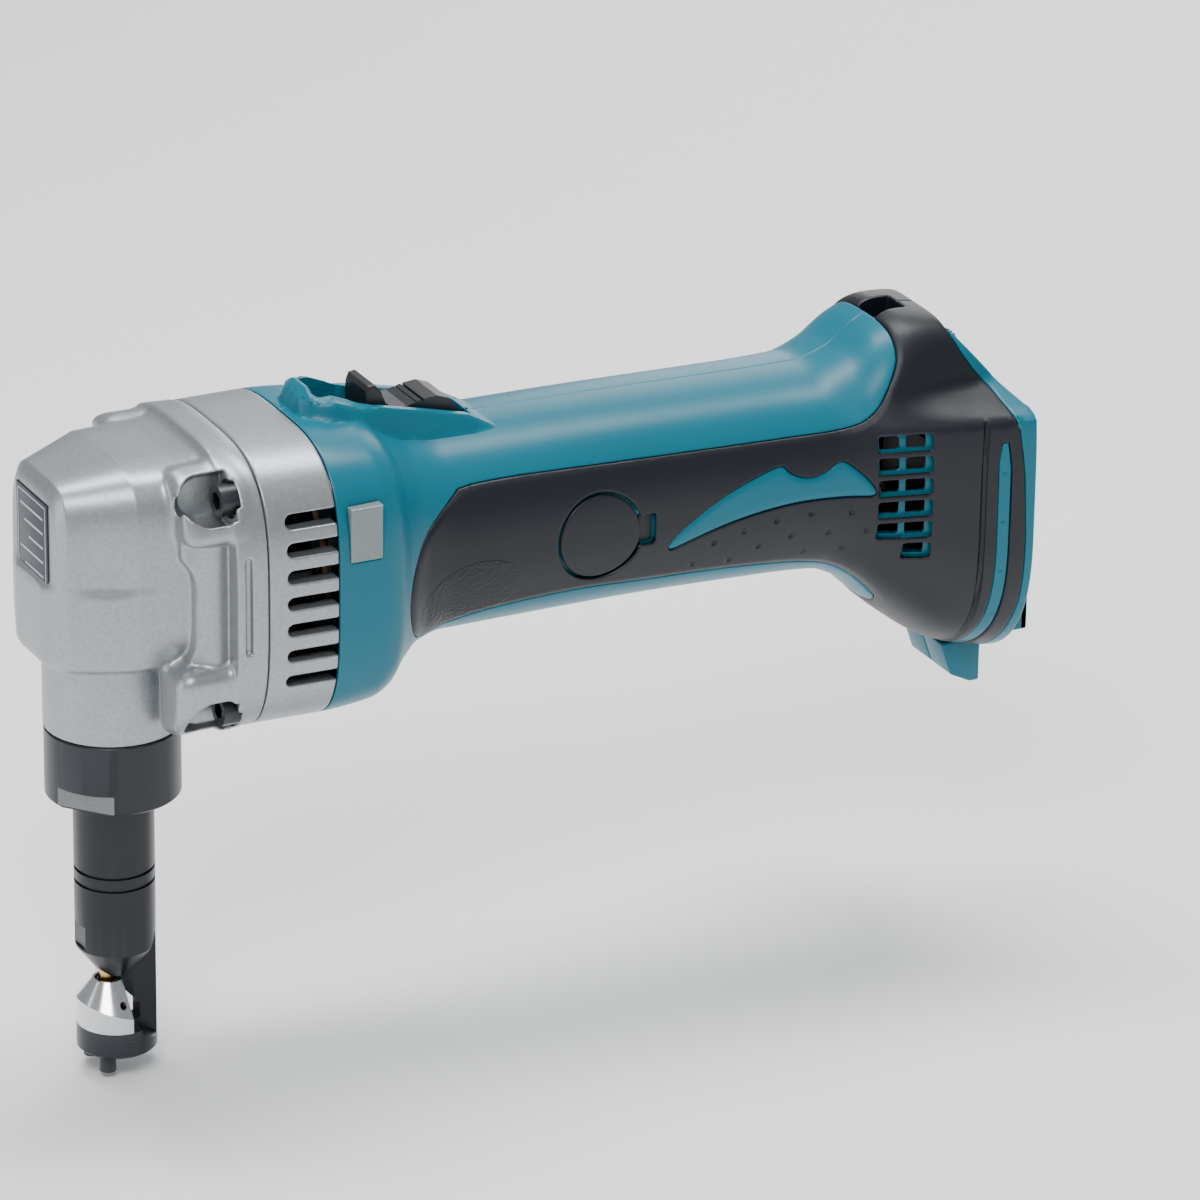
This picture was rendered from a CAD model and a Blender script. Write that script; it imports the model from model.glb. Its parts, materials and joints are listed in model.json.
"""Looks of the cordless nibbler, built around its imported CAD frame.

Lengths in the shape code are millimetres in the row frame (+X back along the handle, +Z up,
-Y the side with the lamp) and become metres when a mesh is made.
"""
import json
import math

import bmesh
import bpy
import numpy as np
import openvdb
from mathutils import Matrix, Vector


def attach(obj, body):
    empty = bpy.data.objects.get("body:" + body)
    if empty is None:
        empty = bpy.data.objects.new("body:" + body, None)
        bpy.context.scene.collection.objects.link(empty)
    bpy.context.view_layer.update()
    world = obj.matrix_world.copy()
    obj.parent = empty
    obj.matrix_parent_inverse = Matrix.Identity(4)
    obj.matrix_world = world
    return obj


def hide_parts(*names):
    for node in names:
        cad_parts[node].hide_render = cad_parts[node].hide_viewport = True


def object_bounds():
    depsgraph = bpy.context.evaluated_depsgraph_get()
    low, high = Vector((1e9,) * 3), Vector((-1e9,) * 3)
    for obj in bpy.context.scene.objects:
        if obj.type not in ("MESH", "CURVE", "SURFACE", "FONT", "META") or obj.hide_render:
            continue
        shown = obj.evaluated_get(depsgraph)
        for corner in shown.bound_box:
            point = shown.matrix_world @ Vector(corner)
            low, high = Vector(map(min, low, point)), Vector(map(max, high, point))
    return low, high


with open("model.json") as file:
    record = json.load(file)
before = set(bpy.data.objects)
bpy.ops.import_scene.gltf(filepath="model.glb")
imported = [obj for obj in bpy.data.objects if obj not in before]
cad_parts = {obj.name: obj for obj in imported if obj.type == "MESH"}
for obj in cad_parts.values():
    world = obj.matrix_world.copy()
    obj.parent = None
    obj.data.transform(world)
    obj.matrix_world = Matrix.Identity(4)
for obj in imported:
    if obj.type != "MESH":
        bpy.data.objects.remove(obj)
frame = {"nodes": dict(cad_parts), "record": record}
cad_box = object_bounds()
MM = 0.001


# ---- node materials ------------------------------------------------------------------------------

class Nodes:
    """A short way to build one material's node tree."""

    def __init__(self, name):
        self.material = bpy.data.materials.new(name)
        self.material.use_nodes = True
        self.tree = self.material.node_tree
        self.tree.nodes.clear()
        self.output = self.add("ShaderNodeOutputMaterial")
        self.shader = self.add("ShaderNodeBsdfPrincipled")
        self.link(self.shader.outputs["BSDF"], self.output.inputs["Surface"])
        self.coords = self.add("ShaderNodeTexCoord").outputs["Object"]

    def add(self, kind, **settings):
        node = self.tree.nodes.new(kind)
        for key, value in settings.items():
            setattr(node, key, value)
        return node

    def link(self, a, b):
        self.tree.links.new(a, b)

    def put(self, node, **values):
        for key, value in values.items():
            socket = node.inputs[key.replace("_", " ")]
            if isinstance(value, bpy.types.NodeSocket):
                self.link(value, socket)
            else:
                socket.default_value = value
        return node

    def set(self, **values):
        self.put(self.shader, **values)

    def noise(self, scale, detail=3.0, roughness=0.55, stretch=(1, 1, 1), coords=None):
        mapping = self.add("ShaderNodeMapping")
        mapping.inputs["Scale"].default_value = stretch
        self.link(coords or self.coords, mapping.inputs["Vector"])
        node = self.add("ShaderNodeTexNoise")
        self.put(node, Scale=scale, Detail=detail, Roughness=roughness)
        self.link(mapping.outputs["Vector"], node.inputs["Vector"])
        return node.outputs["Fac"]

    def cells(self, scale):
        node = self.add("ShaderNodeTexVoronoi")
        self.put(node, Scale=scale)
        self.link(self.coords, node.inputs["Vector"])
        return node

    def ramp(self, factor, *stops):
        node = self.add("ShaderNodeValToRGB")
        while len(node.color_ramp.elements) < len(stops):
            node.color_ramp.elements.new(0.5)
        for element, (position, colour) in zip(node.color_ramp.elements, stops):
            element.position = position
            element.color = (*colour, 1.0) if len(colour) == 3 else colour
        self.link(factor, node.inputs["Fac"])
        return node.outputs["Color"]

    def span(self, factor, low, high, start=0.0, finish=1.0):
        node = self.add("ShaderNodeMapRange")
        self.put(node, Value=factor)
        for key, value in (("From Min", start), ("From Max", finish), ("To Min", low),
                           ("To Max", high)):
            node.inputs[key].default_value = value
        return node.outputs["Result"]

    def math(self, operation, a, b=0.0):
        node = self.add("ShaderNodeMath", operation=operation)
        for socket, value in zip(node.inputs, (a, b)):
            if isinstance(value, bpy.types.NodeSocket):
                self.link(value, socket)
            else:
                socket.default_value = value
        return node.outputs[0]

    def mix(self, factor, a, b):
        node = self.add("ShaderNodeMix", data_type="RGBA")
        for index, value in ((0, factor), (6, a), (7, b)):
            if isinstance(value, bpy.types.NodeSocket):
                self.link(value, node.inputs[index])
            elif index:
                node.inputs[index].default_value = (*value, 1.0)
            else:
                node.inputs[index].default_value = value
        return node.outputs[2]

    def axes(self):
        node = self.add("ShaderNodeSeparateXYZ")
        self.link(self.coords, node.inputs[0])
        return node.outputs

    def bump(self, height, strength, distance, under=None):
        node = self.add("ShaderNodeBump")
        self.put(node, Height=height, Strength=strength, Distance=distance)
        if under is not None:
            self.link(under, node.inputs["Normal"])
        self.link(node.outputs["Normal"], self.shader.inputs["Normal"])
        return node.outputs["Normal"]

    def edge_wear(self, low=0.52, high=0.62):
        """1 on convex edges, from the mesh's own curvature."""
        node = self.add("ShaderNodeNewGeometry")
        return self.span(node.outputs["Pointiness"], 0.0, 1.0, low, high)


def moulded_teal():
    n = Nodes("teal_plastic")
    drift = n.noise(18, 3)
    n.set(Base_Color=n.mix(drift, (0.0003, 0.118, 0.172), (0.0006, 0.138, 0.200)),
          Roughness=n.span(n.noise(160, 4), 0.32, 0.40), Metallic=0.0)
    n.set(**{"Coat_Weight": 0.05, "Coat_Roughness": 0.3, "Specular_IOR_Level": 0.3})
    n.bump(n.noise(2600, 2), 0.10, 0.00005)
    return n.material


def grip_rubber():
    n = Nodes("soft_grip")
    drift = n.noise(22, 4)
    n.set(Base_Color=n.mix(drift, (0.0028, 0.0040, 0.0085), (0.0050, 0.0068, 0.0125)),
          Roughness=n.span(n.noise(240, 4), 0.38, 0.50))
    n.set(**{"Specular_IOR_Level": 0.42})
    x, _, z = n.axes()
    tilt = math.radians(14)
    along = n.math("ADD", n.math("MULTIPLY", n.math("SUBTRACT", x, 0.0885), math.cos(tilt)),
                   n.math("MULTIPLY", n.math("SUBTRACT", z, 0.0475), math.sin(tilt)))
    rise = n.math("SUBTRACT", n.math("MULTIPLY", n.math("SUBTRACT", z, 0.0475), math.cos(tilt)),
                  n.math("MULTIPLY", n.math("SUBTRACT", x, 0.0885), math.sin(tilt)))
    reach = n.math("ADD", n.math("POWER", n.math("DIVIDE", along, 0.0150), 2.0),
                   n.math("POWER", n.math("DIVIDE", rise, 0.0088), 2.0))
    pad = n.span(reach, 1.0, 0.0, 0.94, 1.0)
    knurl = n.math("MULTIPLY", pad, n.cells(950).outputs["Distance"])
    raised = n.bump(knurl, 0.6, 0.0003)
    fine = n.bump(n.noise(3800, 2), 0.22, 0.00006, raised)
    n.bump(n.noise(900, 3), 0.06, 0.0001, fine)
    return n.material


def ribbed_plastic():
    n = Nodes("black_plastic")
    n.set(Base_Color=n.mix(n.noise(60), (0.005, 0.0055, 0.007), (0.009, 0.0095, 0.012)),
          Roughness=n.span(n.noise(300, 3), 0.36, 0.5))
    n.bump(n.noise(2400, 2), 0.16, 0.00006)
    return n.material


def painted_casting():
    n = Nodes("cast_alloy")
    flake = n.cells(3600)
    grain = n.noise(900, 5)
    tone = n.mix(n.span(flake.outputs["Distance"], 0.0, 1.0, 0.1, 0.6),
                 (0.31, 0.33, 0.345), (0.38, 0.40, 0.415))
    tone = n.mix(n.span(grain, 0.0, 0.5, 0.35, 0.75), tone, (0.24, 0.26, 0.275))
    n.set(Base_Color=tone, Metallic=0.78, Roughness=n.span(n.noise(1400, 3), 0.33, 0.47))
    coarse = n.bump(n.noise(700, 4, 0.6), 0.22, 0.00012)
    n.bump(n.noise(2600, 3), 0.18, 0.00006, coarse)
    return n.material


def bare_steel(name, colour, rough, stretch=(1, 1, 1), scale=1800, depth=0.12, metallic=1.0):
    n = Nodes(name)
    lines = n.noise(scale, 4, 0.6, stretch)
    shade = tuple(c * 0.78 for c in colour)
    n.set(Base_Color=n.mix(lines, shade, colour), Metallic=metallic,
          Roughness=n.span(lines, rough * 0.75, rough * 1.3))
    n.bump(lines, depth, 0.00004)
    return n.material


def black_oxide(name="black_oxide"):
    n = Nodes(name)
    turned = n.noise(500, 3, 0.6, (0.02, 0.02, 7.0))
    cloud = n.noise(55, 4)
    tone = n.mix(cloud, (0.0045, 0.0055, 0.0090), (0.0080, 0.0095, 0.0145))
    wear = n.edge_wear(0.56, 0.70)
    tone = n.mix(wear, tone, (0.06, 0.066, 0.076))
    n.set(Base_Color=tone, Metallic=0.30, Roughness=n.span(n.math("ADD", turned, cloud), 0.24, 0.42,
                                                         0.6, 1.4))
    n.bump(turned, 0.10, 0.00003)
    return n.material


def nut_finish():
    """Black oxide with two bare, brushed wrench flats near the lower edge."""
    n = Nodes("nut_finish")
    angle = math.radians(221)
    x, y, z = n.axes()
    across = n.math("ADD", n.math("MULTIPLY", x, math.cos(angle)),
                    n.math("MULTIPLY", y, math.sin(angle)))
    reach = n.math("ABSOLUTE", across)
    inside = n.math("MULTIPLY", n.math("LESS_THAN", z, 0.0053), n.math("GREATER_THAN", z, 0.0004))
    off = n.math("ABSOLUTE", n.math("SUBTRACT", reach, 0.01575))
    flat = n.math("MULTIPLY", inside, n.math("LESS_THAN", off, 0.00004))
    brushed = n.noise(700, 4, 0.7, (1.0, 1.0, 14.0))
    cloud = n.noise(60, 4)
    dark = n.mix(cloud, (0.0045, 0.0055, 0.0090), (0.0080, 0.0095, 0.0145))
    dark = n.mix(n.edge_wear(0.56, 0.70), dark, (0.06, 0.066, 0.076))
    bright = n.mix(brushed, (0.07, 0.075, 0.08), (0.26, 0.27, 0.29))
    n.set(Base_Color=n.mix(flat, dark, bright),
          Metallic=n.span(flat, 0.3, 0.8), Roughness=n.span(brushed, 0.28, 0.42))
    n.bump(brushed, 0.15, 0.00004)
    return n.material


def gold_coating():
    n = Nodes("gold_coating")
    n.set(Base_Color=n.mix(n.noise(300), (0.62, 0.36, 0.12), (0.86, 0.60, 0.26)), Metallic=1.0,
          Roughness=n.span(n.noise(900), 0.2, 0.34))
    return n.material


def frosted_lens():
    n = Nodes("lens_plastic")
    n.set(Base_Color=n.mix(n.noise(80), (0.15, 0.19, 0.20), (0.21, 0.25, 0.26)),
          Roughness=n.span(n.noise(500), 0.22, 0.34))
    n.set(**{"Transmission_Weight": 0.12, "Coat_Weight": 0.4, "Coat_Roughness": 0.1})
    n.bump(n.noise(1500, 2), 0.08, 0.00004)
    return n.material


def plate_print():
    n = Nodes("label")
    n.set(Base_Color=n.mix(n.noise(90), (0.006, 0.011, 0.024), (0.010, 0.017, 0.034)),
          Roughness=n.span(n.noise(400), 0.28, 0.4), Metallic=0.35)
    n.bump(n.noise(1800, 2), 0.08, 0.00003)
    return n.material


def plate_lines():
    n = Nodes("label_lines")
    n.set(Base_Color=n.mix(n.noise(300), (0.36, 0.40, 0.45), (0.48, 0.52, 0.56)),
          Roughness=n.span(n.noise(500), 0.3, 0.45), Metallic=0.5)
    return n.material


def plain_grain(name, dark, light, rough, metallic=0.0, scale=200):
    n = Nodes(name)
    grain = n.noise(scale, 4)
    n.set(Base_Color=n.mix(grain, dark, light), Metallic=metallic,
          Roughness=n.span(grain, rough * 0.85, rough * 1.15))
    n.bump(n.noise(scale * 6, 3), 0.12, 0.00005)
    return n.material


MATERIALS = {
    "cast_alloy": painted_casting(),
    "machined_alloy": bare_steel("machined_alloy", (0.72, 0.73, 0.75), 0.35, (1, 8, 8)),
    "label": plate_print(),
    "black_oxide": black_oxide(),
    "nut_finish": nut_finish(),
    "polished_steel": bare_steel("polished_steel", (0.80, 0.81, 0.83), 0.17, (0.3, 0.3, 5), 700,
                                 0.10),
    "gold_coating": gold_coating(),
    "bearing_steel": bare_steel("bearing_steel", (0.70, 0.71, 0.73), 0.2, (1, 6, 6)),
    "ground_steel": bare_steel("ground_steel", (0.66, 0.67, 0.69), 0.28, (1, 6, 6)),
    "bronze": bare_steel("bronze", (0.62, 0.44, 0.22), 0.36),
    "seal_rubber": plain_grain("seal_rubber", (0.012, 0.012, 0.012), (0.03, 0.03, 0.03), 0.7),
    "laminations": bare_steel("laminations", (0.42, 0.43, 0.45), 0.4, (40, 1, 1)),
    "copper": bare_steel("copper", (0.78, 0.40, 0.22), 0.3),
    "yoke_steel": bare_steel("yoke_steel", (0.5, 0.51, 0.53), 0.36),
    "ferrite": plain_grain("ferrite", (0.05, 0.05, 0.055), (0.1, 0.1, 0.11), 0.6),
    "carbon": plain_grain("carbon", (0.03, 0.03, 0.03), (0.07, 0.07, 0.07), 0.55),
    "spring_steel": bare_steel("spring_steel", (0.6, 0.6, 0.62), 0.28),
    "black_plastic": ribbed_plastic(),
    "teal_plastic": moulded_teal(),
    "soft_grip": grip_rubber(),
    "screw_steel": bare_steel("screw_steel", (0.10, 0.10, 0.11), 0.35),
    "lens_plastic": frosted_lens(),
    "circuit_board": plain_grain("circuit_board", (0.02, 0.12, 0.05), (0.03, 0.2, 0.08), 0.45),
    "label_lines": plate_lines(),
}


def finish_cad_nodes():
    """Every CAD node takes the procedural material of its slot."""
    for part in frame["record"]["subparts"]:
        node = frame["nodes"][part["node"]]
        finish = "nut_finish" if part["node"] == "lock_nut" else part["material_slot"]
        for material_slot in node.material_slots:
            material_slot.material = MATERIALS[finish]


# ---- mesh helpers ---------------------------------------------------------------------------------

def make_object(name, points, faces, material, body="tool_body"):
    """A smooth-shaded piece from points in millimetres."""
    mesh = bpy.data.meshes.new(name)
    mesh.from_pydata((np.asarray(points) * MM).tolist(), [], [list(map(int, f)) for f in faces])
    mesh.update()
    piece = bpy.data.objects.new(name, mesh)
    bpy.context.collection.objects.link(piece)
    mesh.materials.append(MATERIALS[material])
    for polygon in mesh.polygons:
        polygon.use_smooth = True
    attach(piece, body)
    return piece


def apply_modifiers(piece):
    """Bake a piece's modifiers into its mesh."""
    graph = bpy.context.evaluated_depsgraph_get()
    baked = bpy.data.meshes.new_from_object(piece.evaluated_get(graph))
    piece.modifiers.clear()
    piece.data = baked


def split_smooth(piece, degrees=32):
    """Smooth shading that still shows edges sharper than the angle."""
    graph = bmesh.new()
    graph.from_mesh(piece.data)
    limit = math.radians(degrees)
    for edge in graph.edges:
        edge.smooth = len(edge.link_faces) == 2 and edge.calc_face_angle(0) < limit
    graph.to_mesh(piece.data)
    graph.free()


def rounded_block(name, low, high, radius, material, body="tool_body", segments=4):
    """A box with rounded edges."""
    graph = bmesh.new()
    bmesh.ops.create_cube(graph, size=1)
    for vertex in graph.verts:
        for axis in range(3):
            vertex.co[axis] = (low[axis] + high[axis]) / 2 + vertex.co[axis] * (high[axis] - low[axis])
    bmesh.ops.bevel(graph, geom=graph.edges[:], offset=radius, segments=segments, profile=0.5,
                    affect="EDGES")
    return from_bmesh(name, graph, material, body)


def from_bmesh(name, graph, material, body="tool_body", sharp=40):
    bmesh.ops.recalc_face_normals(graph, faces=graph.faces[:])
    points = [tuple(v.co) for v in graph.verts]
    graph.verts.index_update()
    faces = [[v.index for v in f.verts] for f in graph.faces]
    graph.free()
    piece = make_object(name, points, faces, material, body)
    split_smooth(piece, sharp)
    return piece


def bevelled_prism(name, outline, y_low, y_high, radius, material, body="tool_body"):
    """An XZ outline between two y values, with rounded edges."""
    graph = bmesh.new()
    near = [graph.verts.new((x, y_low, z)) for x, z in outline]
    far = [graph.verts.new((x, y_high, z)) for x, z in outline]
    graph.faces.new(near)
    graph.faces.new(far[::-1])
    count = len(outline)
    for i in range(count):
        j = (i + 1) % count
        graph.faces.new((near[i], far[i], far[j], near[j]))
    bmesh.ops.bevel(graph, geom=graph.edges[:], offset=radius, segments=3, profile=0.5,
                    affect="EDGES", clamp_overlap=True)
    return from_bmesh(name, graph, material, body)


# ---- distances to outlines ------------------------------------------------------------------------

def smoothstep(value, low, high):
    t = np.clip((value - low) / (high - low), 0.0, 1.0)
    return t * t * (3 - 2 * t)


def softened(points, rounds=2):
    """The outline with its corners cut again and again until it is a curve."""
    points = np.asarray(points, float)
    for _ in range(rounds):
        ahead = np.roll(points, -1, axis=0)
        points = np.stack([0.75 * points + 0.25 * ahead, 0.25 * points + 0.75 * ahead], 1)
        points = points.reshape(-1, 2)
    return points


def outline_distance(a, b, outline):
    """Signed distance of the points (a, b) to a closed outline, negative inside."""
    best = np.full(a.shape, 1e9)
    inside = np.zeros(a.shape, bool)
    for p, q in zip(outline, np.roll(outline, -1, axis=0)):
        run = q - p
        t = np.clip(((a - p[0]) * run[0] + (b - p[1]) * run[1]) / max(run @ run, 1e-12), 0, 1)
        best = np.minimum(best, np.hypot(a - p[0] - t * run[0], b - p[1] - t * run[1]))
        if p[1] != q[1]:
            crossing = (p[1] > b) != (q[1] > b)
            inside ^= crossing & (a < p[0] + (b - p[1]) * run[0] / run[1])
    return np.where(inside, -best, best)


def rectangle_distance(a, b, low, high, corner):
    centre = (np.asarray(low) + high) / 2
    half = (np.asarray(high) - low) / 2 - corner
    da, db = np.abs(a - centre[0]) - half[0], np.abs(b - centre[1]) - half[1]
    return np.hypot(np.maximum(da, 0), np.maximum(db, 0)) + np.minimum(np.maximum(da, db), 0) - corner


def round_over(depth, radius):
    """How far a surface drops at a distance from a rounded edge."""
    rest = np.clip(radius - depth, 0.0, radius)
    return radius - np.sqrt(np.maximum(radius ** 2 - rest ** 2, 0.0))


# ---- the body's envelope --------------------------------------------------------------------------
# Stations along X: half width, bottom, middle and top heights, the exponents of the rounded
# outline below and above the middle, and how far the nose above the shoulder is narrowed.

STATIONS = np.array([
    (28.0, 36.2, 19.5, 58.15, 96.8, 3.4, 3.4, 0.0), (47.0, 37.0, 19.4, 58.15, 96.6, 3.4, 3.4, 0.0),
    (60.0, 36.8, 20.2, 58.15, 95.6, 3.3, 3.3, 0.0), (64.5, 35.6, 21.6, 58.15, 94.4, 3.2, 3.2, 0.0),
    (70.0, 31.6, 25.8, 58.15, 91.0, 2.9, 2.9, 0.0), (77.0, 27.8, 30.0, 58.15, 88.6, 2.6, 2.6, 0.0),
    (86.0, 26.4, 31.6, 58.20, 87.8, 2.4, 2.4, 0.0), (130.0, 26.0, 31.6, 58.80, 87.2, 2.4, 2.4, 0.0),
    (180.0, 26.2, 30.2, 57.80, 86.0, 2.4, 2.4, 0.0),
    (195.0, 26.8, 29.2, 56.80, 85.8, 2.4, 2.5, 0.0),
    (205.0, 28.4, 25.2, 54.50, 88.4, 2.4, 2.8, 0.04),
    (214.0, 30.6, 17.4, 50.50, 94.6, 2.4, 3.2, 0.14),
    (222.0, 32.6, 10.6, 47.00, 97.4, 2.4, 3.6, 0.24),
    (232.0, 34.9, 3.4, 43.00, 96.6, 2.4, 4.2, 0.33),
    (241.0, 36.6, -0.2, 41.00, 94.6, 2.4, 4.8, 0.38),
    (249.3, 37.2, -1.4, 40.00, 92.4, 2.4, 5.0, 0.40)])
SHOULDER = (72.5, 81.5)
MOTOR_Z = 58.15
RING_X = (28.0, 47.0)
REAR_X = 249.3


def station(x):
    """The station values at each x, by monotone cubic interpolation."""
    places, values = STATIONS[:, 0], STATIONS[:, 1:]
    secants = np.diff(values, axis=0) / np.diff(places)[:, None]
    slopes = np.zeros_like(values)
    before, after = secants[:-1], secants[1:]
    agree = before * after > 0
    slopes[1:-1][agree] = (2 * before * after)[agree] / (before + after)[agree]
    i = np.clip(np.searchsorted(places, x, side="right") - 1, 0, len(places) - 2)
    span = (places[i + 1] - places[i])[:, None]
    t = (x[:, None] - places[i][:, None]) / span
    return ((2 * t**3 - 3 * t**2 + 1) * values[i] + (t**3 - 2 * t**2 + t) * span * slopes[i]
            + (3 * t**2 - 2 * t**3) * values[i + 1] + (t**3 - t**2) * span * slopes[i + 1])


def envelope_point(x, angle):
    """The left surface at x; the angle runs from -90 degrees underneath to +90 on top."""
    half, bottom, middle, top, low_power, high_power, nose = station(x).T
    up, out = np.sin(angle), np.cos(angle)
    under = up < 0
    reach = np.where(under, middle - bottom, top - middle)
    power = np.where(under, low_power, high_power)
    size = (np.abs(out / half) ** power + np.abs(up / reach) ** power) ** (-1 / power)
    z = middle + size * up
    y = -size * out * (1 - nose * smoothstep(z, *SHOULDER))
    return np.stack([x, y, z], 1)


def envelope_normal(x, angle):
    step = 1e-4
    along = envelope_point(x + 0.01, angle) - envelope_point(x - 0.01, angle)
    around = envelope_point(x, angle + step) - envelope_point(x, angle - step)
    normal = np.cross(around, along)
    normal /= np.maximum(np.linalg.norm(normal, axis=1, keepdims=True), 1e-12)
    outward = np.sign((normal * (envelope_point(x, angle) - [0, 0, 50])).sum(1))
    middle = normal[:, 1] * -np.cos(angle) + normal[:, 2] * np.sin(angle)
    return normal * np.sign(middle + 1e-9 * outward)[:, None]


class Sheet:
    """A triangle sheet over the left half of the envelope, cut finer along chosen lines."""

    def __init__(self, x_values, angles):
        x, a = np.meshgrid(x_values, angles, indexing="ij")
        self.u = np.stack([x.ravel(), a.ravel()], 1)
        n, m = x.shape
        first = (np.arange(n - 1)[:, None] * m + np.arange(m - 1)).ravel()
        self.tri = np.concatenate([np.stack([first, first + m, first + m + 1], 1),
                                   np.stack([first, first + m + 1, first + 1], 1)])

    def points(self):
        return envelope_point(self.u[:, 0], self.u[:, 1])

    def centres(self):
        u = self.u[self.tri].mean(1)
        return envelope_point(u[:, 0], u[:, 1])

    def slice(self, field, *levels):
        """Put rows of points where field(points) has each of the levels."""
        for level in levels:
            values = field(self.points()) - level
            values[np.abs(values) < 0.02] = 0.0
            side = np.sign(values)
            tri = self.tri
            a, b = tri, np.roll(tri, -1, axis=1)
            cross = side[a] * side[b] < 0
            edges = np.sort(np.stack([a[cross], b[cross]], 1), axis=1)
            if not len(edges):
                continue
            unique, inverse = np.unique(edges, axis=0, return_inverse=True)
            va, vb = values[unique[:, 0]], values[unique[:, 1]]
            t = (va / (va - vb))[:, None]
            index = np.full(tri.shape, -1)
            index[cross] = len(self.u) + inverse.ravel()
            self.u = np.concatenate([self.u, self.u[unique[:, 0]] * (1 - t)
                                     + self.u[unique[:, 1]] * t])
            count = cross.sum(1)
            pieces = [tri[count == 0]]
            for k in range(3):
                k1, k2 = (k + 1) % 3, (k + 2) % 3
                one = (count == 1) & cross[:, k]
                v, mid = tri[one], index[one, k]
                pieces.append(np.stack([v[:, k], mid, v[:, k2]], 1))
                pieces.append(np.stack([mid, v[:, k1], v[:, k2]], 1))
                two = (count == 2) & cross[:, k] & cross[:, k1]
                v, m0, m1 = tri[two], index[two, k], index[two, k1]
                pieces.append(np.stack([m0, v[:, k1], m1], 1))
                pieces.append(np.stack([v[:, k], m0, m1], 1))
                pieces.append(np.stack([v[:, k], m1, v[:, k2]], 1))
            self.tri = np.concatenate(pieces)

    def part(self, keep, height, shift=None):
        """The kept faces, raised by a height over each point; returns points and faces."""
        faces = self.tri[keep]
        used, flat = np.unique(faces, return_inverse=True)
        u = self.u[used]
        points = envelope_point(u[:, 0], u[:, 1])
        raised = points + envelope_normal(u[:, 0], u[:, 1]) * height(points)[:, None]
        if shift is not None:
            raised = shift(points, raised)
        return raised, flat.reshape(faces.shape)


# ---- the plastic shell ----------------------------------------------------------------------------

GRIP = softened([
    (77.0, 36.0), (84.0, 38.5), (95.0, 41.3), (121.0, 42.4), (140.0, 41.0), (162.0, 40.3),
    (186.0, 38.0), (198.0, 34.6), (208.0, 27.0), (216.0, 17.5), (214.0, 10.0), (222.0, -12.0),
    (246.6, -12.0), (246.6, 73.5), (233.0, 89.6), (229.5, 110.0), (217.0, 110.0), (217.0, 91.5),
    (213.0, 84.5), (208.0, 78.0), (200.0, 74.2), (185.0, 74.2), (160.0, 75.0), (138.0, 75.7),
    (88.0, 77.4), (84.4, 74.4), (78.7, 70.5), (74.0, 65.9), (70.4, 58.7), (69.0, 51.0),
    (69.6, 46.0), (72.0, 40.0)])
BLADE = softened([
    (145.8, 49.4), (146.2, 52.5), (155.1, 58.8), (163.1, 63.0), (170.8, 65.8), (177.6, 67.7),
    (179.6, 67.6), (181.4, 65.2), (186.5, 63.0), (191.8, 64.0), (195.4, 66.5), (197.3, 66.3),
    (200.6, 63.6), (203.8, 60.4), (206.0, 57.2), (205.2, 55.7), (199.6, 56.4), (186.5, 57.1),
    (177.5, 56.7), (168.6, 55.6), (159.7, 53.7), (151.0, 51.0)])
STRIP = softened([
    (238.3, 68.0), (241.9, 67.5), (241.9, 40.0), (241.8, 20.0), (241.0, 9.0), (239.0, 1.0),
    (236.0, 0.4), (237.4, 8.0), (238.3, 20.0), (238.3, 45.0)], 1)
REAR_CUT = np.array([(REAR_X, -60.0), (REAR_X, 75.0), (232.6, 94.8), (228.0, 101.0),
                     (228.0, 140.0), (300.0, 140.0), (300.0, -60.0)])
GROOVE = [(234.9, 73.2), (234.3, 60.0), (234.2, 35.0), (234.7, 22.0), (235.0, 8.0), (235.2, -1.0)]
GRIP_DIMPLES = [(153.8, 44.3), (164.8, 43.4), (159.3, 49.6), (168.0, 51.6), (172.8, 46.2),
                (177.5, 53.0), (182.1, 47.7), (187.5, 53.4), (186.9, 41.9), (193.1, 47.0),
                (199.1, 52.2), (197.9, 41.3), (203.6, 46.4)]
STRIP_DIMPLES = [(240.0, 59.6), (240.0, 45.6), (240.0, 31.4), (240.0, 17.5)]
SCREW_PLACES = [(56.5, 29.5), (147.5, 39.0), (197.0, 38.5), (232.0, 12.5), (236.0, 82.0)]
COVER = (126.0, 57.15)
COVER_RADIUS = 11.5
VENT_ROWS, VENT_LOW, VENT_PITCH, VENT_HEIGHT = 6, 37.5, 6.1, 3.6
VENT_COLUMNS, VENT_LENGTH = (206.9, 213.8), 5.2
TERMINAL_WINDOW = (15.2, 16.0, 60.0)
GAP = 0.06


def spots(p, places):
    return np.min([np.hypot(p[:, 0] - x, p[:, 2] - z) for x, z in places], axis=0)


def grip_edge(p):
    return outline_distance(p[:, 0], p[:, 2], GRIP)


def blade_edge(p):
    return outline_distance(p[:, 0], p[:, 2], BLADE)


def strip_edge(p):
    return outline_distance(p[:, 0], p[:, 2], STRIP)


def rear_edge(p):
    return outline_distance(p[:, 0], p[:, 2], REAR_CUT)


def cover_disc(p):
    return spots(p, [COVER]) - COVER_RADIUS


def cover_tab(p):
    return rectangle_distance(p[:, 0], p[:, 2], (134.0, 53.6), (141.4, 60.7), 0.4)


def cover_hole(p):
    notch = rectangle_distance(p[:, 0], p[:, 2], (134.0, 53.0), (141.9, 61.3), 0.5)
    return np.minimum(cover_disc(p) - 0.7, notch)


def vent_rows():
    for row in range(VENT_ROWS):
        yield VENT_COLUMNS[0 if row else 1:], VENT_LOW + VENT_PITCH * row


def vent_edge(p):
    return np.min([rectangle_distance(p[:, 0], p[:, 2], (x, z), (x + VENT_LENGTH, z + VENT_HEIGHT), 0.5)
                   for columns, z in vent_rows() for x in columns], axis=0)


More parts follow.
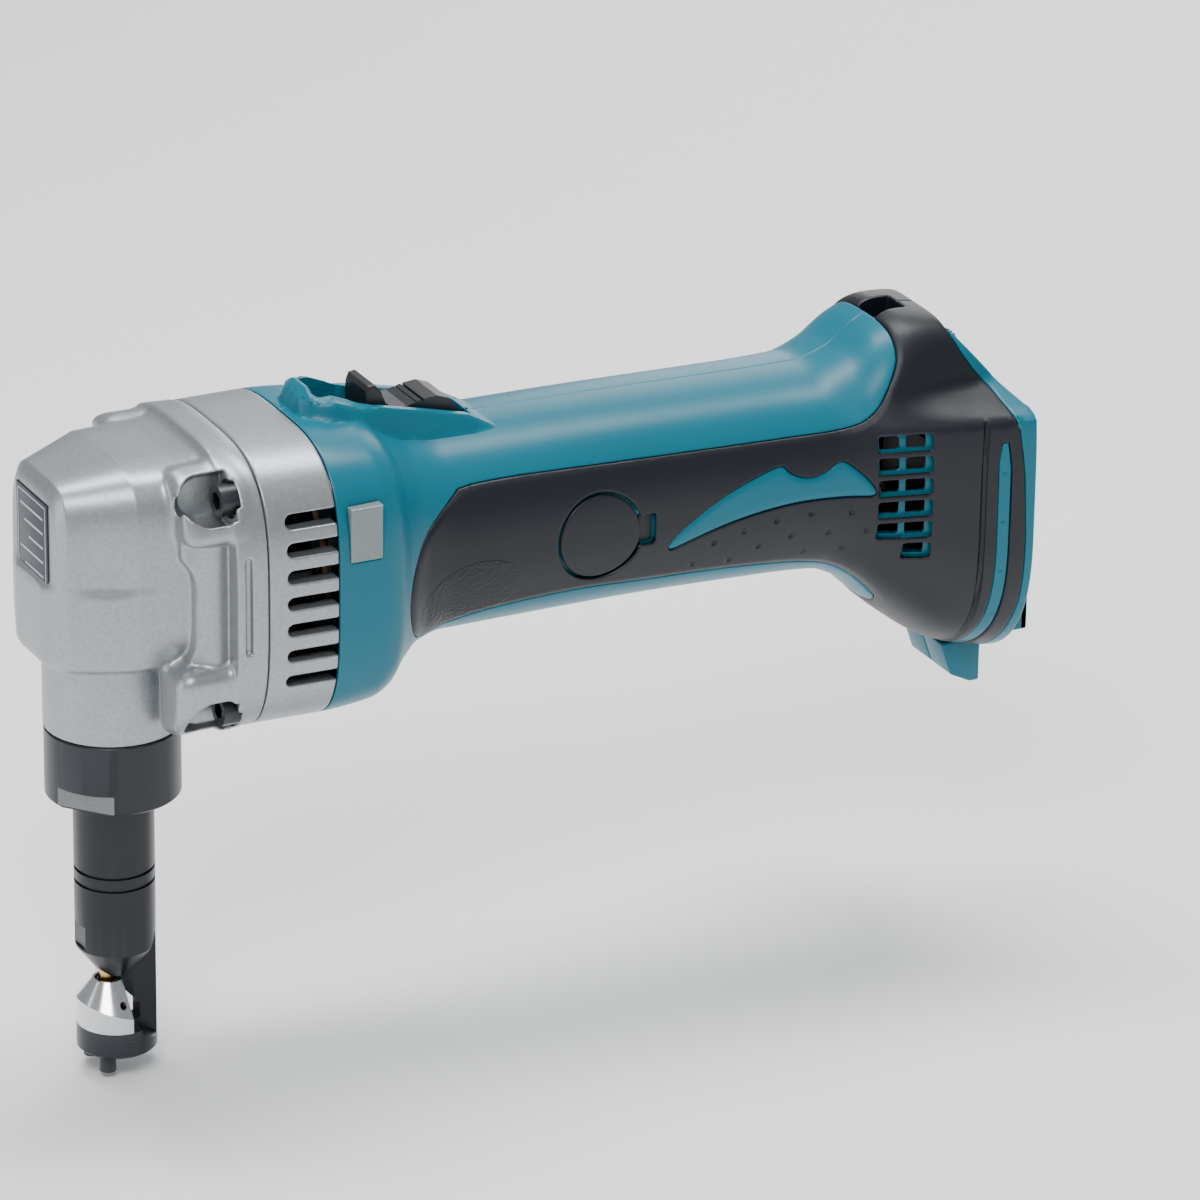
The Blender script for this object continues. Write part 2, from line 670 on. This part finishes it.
def window_edge(p):
    back = VENT_COLUMNS[1] + VENT_LENGTH + 1.5
    return np.min([rectangle_distance(p[:, 0], p[:, 2], (columns[0] - 0.6, z - 0.5),
                                      (back, z + VENT_HEIGHT + 0.5), 0.9)
                   for columns, z in vent_rows()], axis=0)


def on_top(p, field, floor=78.0):
    return np.where(p[:, 2] > floor, field, 20.0)


def slot_edge(p):
    return on_top(p, rectangle_distance(p[:, 0], p[:, 1], (53.6, -7.1), (98.5, 7.1), 2.0))


def bow_edge(p):
    """Inside the plan of the raised rim round the switch."""
    ring = np.hypot(p[:, 0] - 60.0, p[:, 1]) - 11.4
    sides = rectangle_distance(p[:, 0], p[:, 1], (60.0, -10.6), (104.0, 10.6), 0.3)
    return on_top(p, np.minimum(ring, sides))


def strap_edge(p):
    return on_top(p, rectangle_distance(p[:, 0], p[:, 1], (216.6, -4.6), (226.2, 4.6), 0.8))


def lens_edge(p):
    near = rectangle_distance(p[:, 0], p[:, 2], (50.0, 67.4), (59.0, 82.0), 0.6)
    return np.where(p[:, 1] < -28, near, 20.0)


def access_edge(p):
    return np.where(np.abs(p[:, 1]) > 4, spots(p, SCREW_PLACES) - 3.2, 20.0)


def groove_edge(p):
    best = np.full(len(p), 1e9)
    for (x0, z0), (x1, z1) in zip(GROOVE, GROOVE[1:]):
        run = np.array([x1 - x0, z1 - z0])
        t = np.clip(((p[:, 0] - x0) * run[0] + (p[:, 2] - z0) * run[1]) / (run @ run), 0, 1)
        best = np.minimum(best, np.hypot(p[:, 0] - x0 - t * run[0], p[:, 2] - z0 - t * run[1]))
    return best


def seam(p):
    return -p[:, 1]


def seam_drop(p):
    return 0.22 * (1 - smoothstep(seam(p), 0.0, 0.35))


def bow_height(x, y):
    profile = [(48.6, 92.0), (50.2, 100.6), (52.5, 103.0), (58.0, 103.2), (63.0, 101.2),
               (70.0, 96.8), (84.0, 93.4), (96.0, 90.4), (104.0, 86.0)]
    heights = np.interp(x, *zip(*profile))
    return heights - 3.0 * smoothstep(np.abs(y), 3.0, 10.0) * (1 - smoothstep(x, 63.0, 72.0))


def teal_shift(before, after):
    """Raise the rim round the switch and turn its inner edge down into the slot."""
    inside = -bow_edge(before)
    rise = smoothstep(inside, -1.1, 0.9)
    target = np.maximum(bow_height(before[:, 0], before[:, 1]), after[:, 2])
    z = after[:, 2] + (target - after[:, 2]) * rise
    z -= 0.5 * round_over(slot_edge(before), 0.8)
    fall = smoothstep(-slot_edge(before), 0.0, 0.3)
    z = np.where(slot_edge(before) < 0, z + (86.0 - z) * fall, z)
    result = after.copy()
    result[:, 2] = z
    result[:, 1] = np.minimum(result[:, 1], -0.02)
    return result


def grip_shift(before, after):
    """Sink the strap hole to its floor."""
    result = after.copy()
    fall = smoothstep(-strap_edge(before), 0.0, 0.4)
    result[:, 2] += (85.0 - result[:, 2]) * fall
    result[:, 1] = np.minimum(result[:, 1], -0.02)
    return result


def teal_height(p):
    drop = round_over(grip_edge(p) - GAP, 0.4) + round_over(rear_edge(p), 0.8) + seam_drop(p)
    return -drop - round_over(p[:, 0] - RING_X[1], 0.5)


def grip_height(p):
    inside = -grip_edge(p)
    swell = 0.35 * smoothstep(inside, 0.0, 1.8) * (1 - smoothstep(p[:, 0], 224.0, 238.0))
    drop = (round_over(inside - GAP, 0.45) + round_over(blade_edge(p) - GAP, 0.35)
            + round_over(strip_edge(p) - GAP, 0.5) + round_over(window_edge(p), 0.45)
            + round_over(cover_hole(p), 0.5) + seam_drop(p) + 0.4 * round_over(strap_edge(p), 0.8))
    dimples = 0.5 * np.clip(1 - (spots(p, GRIP_DIMPLES) / 0.95) ** 2, 0, 1)
    groove = 0.75 * np.clip(1 - (groove_edge(p) / 0.9) ** 2, 0, 1)
    return swell - drop - dimples - groove


def blade_height(p):
    inside = -blade_edge(p)
    return 0.1 + 0.35 * smoothstep(inside, 0.0, 1.6) - round_over(inside - GAP, 0.4)


def strip_height(p):
    dimples = 0.35 * np.clip(1 - (spots(p, STRIP_DIMPLES) / 0.8) ** 2, 0, 1)
    return -0.35 - dimples - round_over(-strip_edge(p) - GAP, 0.25)


def cover_height(p):
    return np.where(cover_disc(p) < 0.05, 0.1 - round_over(-cover_disc(p), 0.5), -1.5)


def join(*parts):
    points, faces, offset = [], [], 0
    for part_points, part_faces in parts:
        points.append(part_points)
        faces += [list(np.asarray(f) + offset) for f in part_faces]
        offset += len(part_points)
    return np.concatenate(points), faces


def rear_wall(points, faces, trim):
    """The flat back: quads from the rear rim straight in to the middle plane."""
    faces = np.asarray(faces)
    edges = np.concatenate([faces[:, [0, 1]], faces[:, [1, 2]], faces[:, [2, 0]]])
    ordered = np.sort(edges, axis=1)
    _, index, count = np.unique(ordered, axis=0, return_index=True, return_counts=True)
    border = edges[index[count == 1]]
    border = border[(trim[border] < 0.05).all(1)]
    half, low, high = TERMINAL_WINDOW
    used = np.unique(border)
    inner = points[used].copy()
    inner[:, 1] = -0.02
    window = {}
    extra = []
    place = {int(v): len(points) + i for i, v in enumerate(used)}
    quads = []
    for a, b in border:
        middle = (points[a, 2] + points[b, 2]) / 2
        if low < middle < high:
            for v in (a, b):
                if int(v) not in window:
                    window[int(v)] = len(points) + len(inner) + len(extra)
                    extra.append([points[v, 0], -half, points[v, 2]])
            quads.append([b, a, window[int(a)], window[int(b)]])
        else:
            quads.append([b, a, place[int(a)], place[int(b)]])
    added = np.concatenate([inner, np.array(extra).reshape(-1, 3)])
    return np.concatenate([points, added]), [list(f) for f in faces] + quads


def side_sheet():
    sheet = Sheet(np.linspace(RING_X[1] + 0.12, REAR_X, 226), np.linspace(-np.pi / 2, np.pi / 2, 140))
    sheet.slice(lambda p: p[:, 0], RING_X[1] + 0.25, RING_X[1] + 0.5)
    sheet.slice(seam, 0.12, 0.35)
    sheet.slice(rear_edge, 0.0, 0.12, 0.4, 0.8)
    sheet.slice(lambda p: p[:, 2], *TERMINAL_WINDOW[1:])
    sheet.slice(grip_edge, -1.8, -1.0, -0.5, -0.2, -GAP, GAP, 0.2, 0.45)
    sheet.slice(blade_edge, -1.0, -0.45, -0.2, -GAP, GAP, 0.2, 0.4)
    sheet.slice(strip_edge, -0.3, -GAP, GAP, 0.2, 0.55)
    sheet.slice(cover_disc, -0.5, -0.25, -0.08, 0.0)
    sheet.slice(cover_tab, 0.0)
    sheet.slice(cover_hole, 0.0, 0.08, 0.25, 0.5)
    sheet.slice(window_edge, 0.0, 0.08, 0.25, 0.45)
    sheet.slice(vent_edge, 0.0)
    sheet.slice(slot_edge, -0.3, -0.15, 0.0, 0.2, 0.8)
    sheet.slice(bow_edge, -0.9, -0.5, -0.2, 0.1, 0.5, 1.1)
    sheet.slice(strap_edge, -0.4, -0.2, 0.0, 0.25, 0.8)
    sheet.slice(groove_edge, 0.3, 0.6, 0.9)
    sheet.slice(lambda p: spots(p, GRIP_DIMPLES + STRIP_DIMPLES), 0.3, 0.6, 0.95)
    return sheet


def shell_side(side):
    """Both skins of one side: -1 is the left with the lamp, +1 the right with the screws."""
    word = "left" if side < 0 else "right"
    sheet = side_sheet()
    own_edge = lens_edge if side < 0 else access_edge
    sheet.slice(own_edge, 0.0, 0.15, 0.4)
    c = sheet.centres()
    solid = (rear_edge(c) > 0) & (own_edge(c) > 0)
    grip = grip_edge(c)
    teal = solid & (grip > GAP) & (slot_edge(c) > -0.3)
    rubber = (solid & (grip < -GAP) & (blade_edge(c) > GAP) & (strip_edge(c) > GAP)
              & (window_edge(c) > 0) & (cover_hole(c) > 0))
    blade = solid & (blade_edge(c) < -GAP)
    strip = solid & (strip_edge(c) < -GAP)
    behind = (window_edge(c) < 0.9) & (vent_edge(c) > 0)
    floor = cover_hole(c) < 0.9
    seam = np.minimum(np.abs(grip), np.minimum(np.abs(blade_edge(c)), np.abs(strip_edge(c))))
    bed = solid & (seam < 1.1) & (window_edge(c) > 0.9) & (cover_hole(c) > 0.9) & (slot_edge(c) > 1)
    cover = (cover_disc(c) < 0) | (cover_tab(c) < 0)

    def own_drop(p):
        return round_over(own_edge(p), 0.4)

    points, faces = sheet.part(teal, lambda p: teal_height(p) - own_drop(p), teal_shift)
    used = np.unique(sheet.tri[teal])
    trim = rear_edge(envelope_point(sheet.u[used, 0], sheet.u[used, 1]))
    outer = rear_wall(points, faces, trim)
    case = join(outer, sheet.part(blade, blade_height), sheet.part(strip, strip_height),
                sheet.part(behind, lambda p: -1.7 - round_over(vent_edge(p), 0.15)),
                sheet.part(floor, lambda p: np.full(len(p), -2.0)),
                sheet.part(bed, lambda p: np.full(len(p), -2.2)))
    rubber_part = sheet.part(rubber, lambda p: grip_height(p) - own_drop(p), grip_shift)
    cover_part = sheet.part(cover, cover_height)
    for name, (points, faces), material, slot, thickness, body, replaced in (
            ("shell_" + word, case, "teal_plastic", "teal_plastic", 2.4, "tool_body",
             "housing_" + word),
            ("overmould_" + word, rubber_part, "soft_grip", "soft_grip", 1.5, "tool_body",
             "grip_" + word),
            ("brush_door_" + word, cover_part, "soft_grip", "soft_grip", 1.3, "cover_" + word,
             "brush_cover_" + word)):
        points = np.array(points)
        faces = [list(f) for f in faces]
        if side > 0:
            points[:, 1] *= -1
            faces = [f[::-1] for f in faces]
        piece = make_object(name, points, faces, material, body)
        thicken = piece.modifiers.new("thicken", "SOLIDIFY")
        thicken.thickness = thickness * MM
        thicken.offset = -1
        apply_modifiers(piece)
        for polygon in piece.data.polygons:
            polygon.use_smooth = True
        split_smooth(piece, 35)
        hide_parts(replaced)


def rear_fittings():
    """The foot below the battery face and the two battery rails."""
    lug = [(237.0, 1.0), (240.5, -8.8), (246.5, -11.8), (REAR_X, -11.8), (REAR_X, 1.0)]
    for word, side in (("left", -1), ("right", 1)):
        low, high = sorted((side * 0.03, side * 11.0))
        bevelled_prism("foot_" + word, lug, low, high, 0.7, "teal_plastic")
        low, high = sorted((side * 25.5, side * 22.5))
        rounded_block("rail_web_" + word, (REAR_X - 1.5, low, 8.0), (REAR_X + 5.6, high, 68.0), 0.5,
                      "teal_plastic")
        low, high = sorted((side * 25.5, side * 19.0))
        rounded_block("rail_lip_" + word, (REAR_X + 3.4, low, 8.0), (REAR_X + 5.6, high, 68.0), 0.5,
                      "teal_plastic")


# ---- the castings: smooth blends of simple solids -------------------------------------------------

HEAD_SECTIONS = np.array([
    (-20.6, 14.4, 42.0, 87.2), (-18.4, 17.2, 39.2, 90.4), (-2.3, 24.4, 38.4, 94.1),
    (12.0, 26.0, 38.6, 94.1), (20.0, 27.0, 38.0, 94.6)])     # X, half width, bottom, top
HEAD_POWER = 4.6
HEAD_FRONT = -20.6
CRANK_Z = 73.2
SCREW_Y, SCREW_RISE = 27.5, 28.5
SEAM_HALF, SEAM_BOTTOM, SEAM_TOP, SEAM_POWER = 36.2, 19.5, 96.8, 3.4
RING_WALL = 3.5
NECK_RADIUS, NECK_BOTTOM = 17.75, 19.2
THREAD_RADIUS, THREAD_BOTTOM = 15.0, 9.2
HOLDER_BORE, BEARING_SEAT = 11.8, 14.0
POCKET_RADIUS, POCKET_FRONT, POCKET_FLOOR = 7.2, 14.0, 20.6
SCREW_SEAT_RADIUS, SCREW_WAY = 5.0, 2.7


def union(a, b, blend):
    h = np.clip(0.5 + 0.5 * (b - a) / blend, 0, 1)
    return b * (1 - h) + a * h - blend * h * (1 - h)


def common(a, b, blend):
    return -union(-a, -b, blend)


def minus(a, b, blend):
    return -union(-a, b, blend)


def slab(value, low, high):
    return np.maximum(low - value, value - high)


def soft_box(x, y, z, low, high, radius):
    middle, half = (np.add(low, high)) / 2, (np.subtract(high, low)) / 2 - radius
    dx, dy, dz = (np.abs(v - m) - h for v, m, h in zip((x, y, z), middle, half))
    outside = np.sqrt(np.maximum(dx, 0)**2 + np.maximum(dy, 0)**2 + np.maximum(dz, 0)**2)
    return outside + np.minimum(np.maximum(np.maximum(dx, dy), dz), 0) - radius


def outline(y, z, half, bottom, top, power, middle=None):
    """About the distance to a rounded outline in a plane across X."""
    middle = (bottom + top) / 2 if middle is None else middle
    reach = np.where(z < middle, middle - bottom, top - middle)
    size = ((y / half) ** power + (np.abs(z - middle) / reach) ** power) ** (1 / power)
    return (size - 1) * np.minimum(half, reach)


def seam_outline(x, y, z, inset=0.0):
    t = np.clip((x - RING_X[0]) / (RING_X[1] - RING_X[0]), 0, 1)
    half = SEAM_HALF + 0.8 * t - inset
    bottom, top = SEAM_BOTTOM - 0.1 * t + inset, SEAM_TOP - 0.2 * t - inset
    return outline(y, z, half, bottom, top, SEAM_POWER, MOTOR_Z)


def head_field(x, y, z):
    """Below zero inside the cast head: the outside blends first, then the rooms and bores."""
    y = np.abs(y) + 1e-6
    half, bottom, top = (np.interp(x, HEAD_SECTIONS[:, 0], HEAD_SECTIONS[:, k]) for k in (1, 2, 3))
    section = outline(y, z, half, bottom, top, HEAD_POWER)
    block = common(section, slab(x, HEAD_FRONT, 24.0), 1.2)
    reach = np.hypot(x, y)
    neck = common(reach - NECK_RADIUS, slab(z, NECK_BOTTOM, 50.0), 0.6)
    bulge = common(reach - 23.7, slab(z, 42.0, 63.5), 2.0)
    flange = common(seam_outline(RING_X[0] + 0 * x, y, z), slab(x, 19.5, RING_X[0] - 0.12), 0.8)
    shape = union(block, bulge, 2.2)
    shape = union(shape, neck, 1.6)
    shape = union(shape, flange, 4.0)
    skirt = soft_box(x, y, z, (4.5, -16, 21.6), (24, 15.5, 46), 2.0)
    shape = union(shape, skirt, 2.0)
    limit = seam_outline(RING_X[0] + 0 * x, y, z) + 0.15
    upper = soft_box(x, y, z, (6.8, 17, 76.4), (24, 34.5, 94.5), 4.0)
    lower = soft_box(x, y, z, (4.6, 17, 22.0), (24, 34.5, 43.4), 4.5)
    bosses = common(np.minimum(upper, lower), limit, 2.5)
    pillar = np.maximum(np.hypot(x - 15.8, y - 26.6) - 4.8, slab(z, 40, 80))
    web = soft_box(x, y, z, (7.6, 18, 40), (22, 28.6, 80), 1.5)
    web = common(web, 22.5 - np.hypot(x + 9.0, z - 57.0), 1.0)
    shape = union(shape, bosses, 2.2)
    shape = union(shape, web, 1.2)
    shape = union(shape, pillar, 1.4)
    strip = soft_box(x, y, z, (21.6, 34.7, 47.0), (23.4, 40, 73.0), 0.8)
    shape = minus(shape, strip, 0.5)
    for rise in (-SCREW_RISE, SCREW_RISE):
        level = z - MOTOR_Z - rise
        across = np.hypot(y - SCREW_Y, level)
        scoop = np.hypot(across, np.minimum(x - POCKET_FRONT, 0)) - POCKET_RADIUS
        scoop = np.maximum(np.maximum(scoop, x - POCKET_FLOOR), 22.4 - y)
        shape = minus(shape, scoop, 0.7)
        shape = minus(shape, np.maximum(across - SCREW_SEAT_RADIUS, slab(x, 14, 22)), 0.3)
        shape = np.maximum(shape, -np.maximum(across - SCREW_WAY, slab(x, 14, 40)))
    thread = np.maximum(reach - THREAD_RADIUS, slab(z, THREAD_BOTTOM, 21.0))
    shape = np.minimum(shape, thread)
    rooms = [np.maximum(np.maximum(section + 3.8, slab(x, -16.4, 9.8)), 51.0 - z),
             np.maximum(outline(y, z, 21.8, 43.2, 89.4, HEAD_POWER), slab(x, 18.2, 40.0)),
             np.maximum(seam_outline(RING_X[0] + 0 * x, y, z, RING_WALL + 4.2), slab(x, 24.6, 40.0)),
             np.maximum(np.hypot(y, z - CRANK_Z) - BEARING_SEAT, slab(x, 8.8, 20.8)),
             np.maximum(reach - HOLDER_BORE, slab(z, 0, 54.2))]
    for room in rooms:
        shape = np.maximum(shape, -room)
    return shape


VENT_ROWS_RING, VENT_LOW_RING, VENT_PITCH_RING = 7, 37.4, 7.18


def ring_field(x, y, z):
    """Below zero inside the motor ring, with its vents and screw bosses."""
    y = np.abs(y) + 1e-6
    outer = seam_outline(x, y, z)
    shape = common(outer, slab(x, RING_X[0] + 0.1, RING_X[1] - 0.08), 0.7)
    hollow = outline(y, z, SEAM_HALF - RING_WALL, SEAM_BOTTOM + RING_WALL, SEAM_TOP - RING_WALL,
                     SEAM_POWER, MOTOR_Z)
    for i in range(VENT_ROWS_RING):
        height = 3.1 + 0.7 * i / (VENT_ROWS_RING - 1)
        level = z - VENT_LOW_RING - VENT_PITCH_RING * i
        slot = np.hypot(np.minimum(x - 33.0 - height / 2, 0), level) - height / 2
        shape = minus(shape, np.maximum(slot, 20.0 - y), 0.4)
    shape = np.maximum(shape, -hollow)
    across = np.minimum(np.hypot(y - SCREW_Y, z - MOTOR_Z - SCREW_RISE),
                        np.hypot(y - SCREW_Y, z - MOTOR_Z + SCREW_RISE))
    boss = np.maximum(np.maximum(across - 5.6, slab(x, RING_X[0] + 0.1, 43.0)), outer)
    boss = np.maximum(boss, 31.02 - np.hypot(y, z - MOTOR_Z))
    shape = np.minimum(shape, boss)
    return np.maximum(shape, -np.maximum(across - 2.4, slab(x, 20.0, 45.0)))


def cast_piece(name, field, low, high, pitch, replaced):
    """Mesh where a field is zero: a coarse surface first, then each point moved onto it."""
    axes = [np.arange(a, b + pitch, pitch) for a, b in zip(low, high)]
    half = [v for v in axes[1] if v <= 1e-9]
    values = np.stack([field(np.full((len(half), len(axes[2])), x), np.array(half)[:, None],
                             axes[2][None, :]) for x in axes[0]])
    values = np.concatenate([values, values[:, -2::-1]], axis=1)
    grid = openvdb.FloatGrid(2 * pitch)
    grid.copyFromArray(np.clip(values, -3 * pitch, 3 * pitch).astype(np.float32))
    points, _, quads = grid.convertToPolygons(isovalue=0.0, adaptivity=0.0)
    points = points * pitch + [axes[0][0], half[0], axes[2][0]]
    step = 0.02
    for _ in range(3):
        value = field(*points.T)
        slope = np.stack([field(*(points + step * d).T) - value for d in np.eye(3)], 1) / step
        move = slope * (value / np.maximum((slope ** 2).sum(1), 0.2))[:, None]
        length = np.linalg.norm(move, axis=1, keepdims=True)
        points = points - move * np.minimum(1, 0.3 * pitch / np.maximum(length, 1e-9))
    piece = make_object(name, points, quads, "cast_alloy")
    graph = bmesh.new()
    graph.from_mesh(piece.data)
    bmesh.ops.recalc_face_normals(graph, faces=graph.faces[:])
    graph.to_mesh(piece.data)
    graph.free()
    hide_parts(replaced)
    return piece


def head_casting():
    cast_piece("head_casting", head_field, (-21.6, -37.8, 8.4), (29.4, 0, 98.2), 0.45, "gear_housing")


def motor_ring():
    cast_piece("motor_ring", ring_field, (27.2, -38.4, 18.2), (48.2, 0, 98.2), 0.4, "motor_bracket")


def gauge_plate():
    """A dark plate with a plain frame and ruled lines."""
    half, bottom, top, margin = 10.0, 44.6, 85.4, 1.3
    rules, rule_pitch = 9, 3.9
    plate = rounded_block("plate", (HEAD_FRONT - 0.42, -half, bottom),
                          (HEAD_FRONT + 0.3, half, top), 0.3, "label")
    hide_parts("gauge_plate")
    graph = bmesh.new()

    def line(points, width):
        for (y0, z0), (y1, z1) in zip(points, points[1:]):
            run = Vector((0, y1 - y0, z1 - z0))
            side = Vector((1, 0, 0)).cross(run.normalized()) * width / 2
            end = run.normalized() * width * 0.4
            corners = [Vector((0, y0, z0)) - end - side, Vector((0, y1, z1)) + end - side,
                       Vector((0, y1, z1)) + end + side, Vector((0, y0, z0)) - end + side]
            rings = [[graph.verts.new(c + Vector((x, 0, 0))) for c in corners]
                     for x in (HEAD_FRONT - 0.48, HEAD_FRONT - 0.3)]
            graph.faces.new(rings[0])
            graph.faces.new(rings[1][::-1])
            for i in range(4):
                j = (i + 1) % 4
                graph.faces.new((rings[0][i], rings[1][i], rings[1][j], rings[0][j]))

    side, low, high = half - margin, bottom + margin, top - margin
    line([(-side, low), (side, low), (side, high), (-side, high), (-side, low)], 0.35)
    for i in range(rules):
        z = 80.6 - rule_pitch * i
        line([(-6.9, z), (6.9 - 2.6 * (i % 3), z)], 0.6)
    from_bmesh("plate_lines", graph, "label_lines")


# ---- studio and camera ----------------------------------------------------------------------------

def studio():
    floor_z = cad_box[0][2] - 0.002
    bpy.ops.mesh.primitive_plane_add(size=12, location=(0, 0, floor_z))
    floor = bpy.context.object
    floor.name = "studio_floor"
    n = Nodes("floor_white")
    n.set(Base_Color=n.mix(n.noise(3), (0.93, 0.93, 0.93), (0.95, 0.95, 0.95)), Roughness=0.7)
    floor.data.materials.append(n.material)
    world = bpy.data.worlds.new("studio")
    bpy.context.scene.world = world
    world.use_nodes = True
    world.node_tree.nodes["Background"].inputs["Color"].default_value = (0.93, 0.96, 1.0, 1)
    world.node_tree.nodes["Background"].inputs["Strength"].default_value = 0.42
    target = Vector((0.12, 0, 0.04))
    for name, place, across, power in (
            ("key", (-0.45, -0.80, 1.05), (0.7, 0.5), 13.0),
            ("top", (0.25, 0.25, 1.25), (1.2, 0.35), 21.0),
            ("rim", (0.9, 0.9, 0.5), (0.7, 0.9), 5.0),
            ("front", (-1.1, 0.1, 0.25), (0.4, 0.9), 3.5)):
        data = bpy.data.lights.new(name, "AREA")
        data.shape = "RECTANGLE"
        data.size, data.size_y = across
        data.energy = power
        light = bpy.data.objects.new(name, data)
        light.location = place
        light.rotation_euler = (target - light.location).to_track_quat("-Z", "Y").to_euler()
        bpy.context.collection.objects.link(light)


def camera():
    """A long lens, from the left, in front and above."""
    azimuth, elevation, roll = (math.radians(a) for a in (-27.18, 23.03, 0.81))
    target = Vector((0.13387, -0.01076, 0.03239))
    distance = 1.8381
    back = Vector((math.sin(azimuth) * math.cos(elevation),
                   -math.cos(azimuth) * math.cos(elevation), math.sin(elevation)))
    level = Vector((math.cos(azimuth), math.sin(azimuth), 0.0))
    rise = back.cross(level)
    right = math.cos(roll) * level + math.sin(roll) * rise
    up = math.cos(roll) * rise - math.sin(roll) * level
    data = bpy.data.cameras.new("camera")
    data.lens = 211.2
    data.sensor_width = 36.0
    data.clip_end = 20
    camera_object = bpy.data.objects.new("camera", data)
    bpy.context.collection.objects.link(camera_object)
    rotation = Matrix((right, up, back)).transposed().to_4x4()
    camera_object.matrix_world = Matrix.Translation(target + back * distance) @ rotation
    bpy.context.scene.camera = camera_object


finish_cad_nodes()
shell_side(-1)
shell_side(1)
rear_fittings()
head_casting()
motor_ring()
gauge_plate()
studio()
camera()
